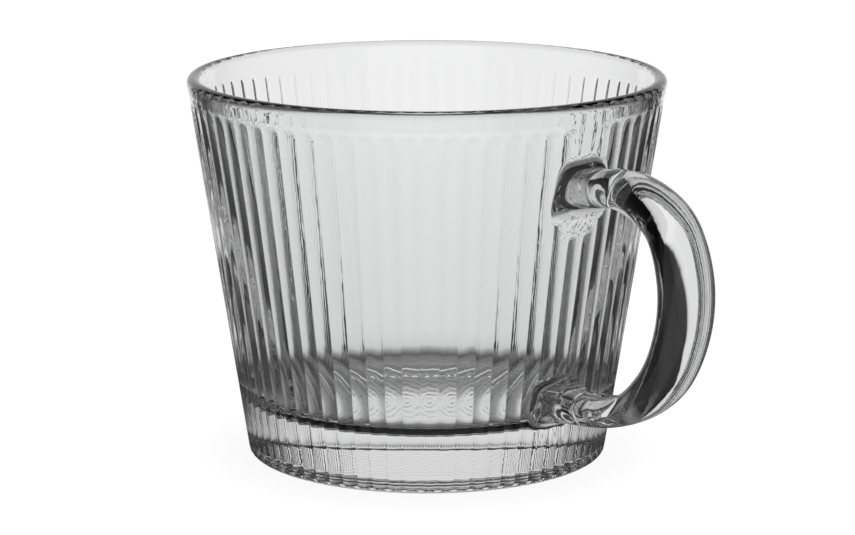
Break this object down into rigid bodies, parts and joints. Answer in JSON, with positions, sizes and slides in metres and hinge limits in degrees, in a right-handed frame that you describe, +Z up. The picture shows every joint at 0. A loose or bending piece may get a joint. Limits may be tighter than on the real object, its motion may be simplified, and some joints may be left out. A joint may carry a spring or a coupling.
{
  "type": "chai glass",
  "caption": "Clear ribbed glass mug with a thick base and a C-shaped handle fused on at two short necks, for hot tea.",
  "frame": {"origin": "on the cup's axis, at the middle of the ring that the mug stands on", "axes": "+Z up along the cup's axis, +X from the axis towards the handle"},
  "size_m": [0.1321, 0.1004, 0.0804],
  "materials": {
    "bowl_glass": "clear, fire-polished",
    "handle_glass": "clear, fire-polished"
  },
  "bodies": {
    "root": {"bowl": "bowl_glass", "handle": "handle_glass"}
  },
  "joints": []
}
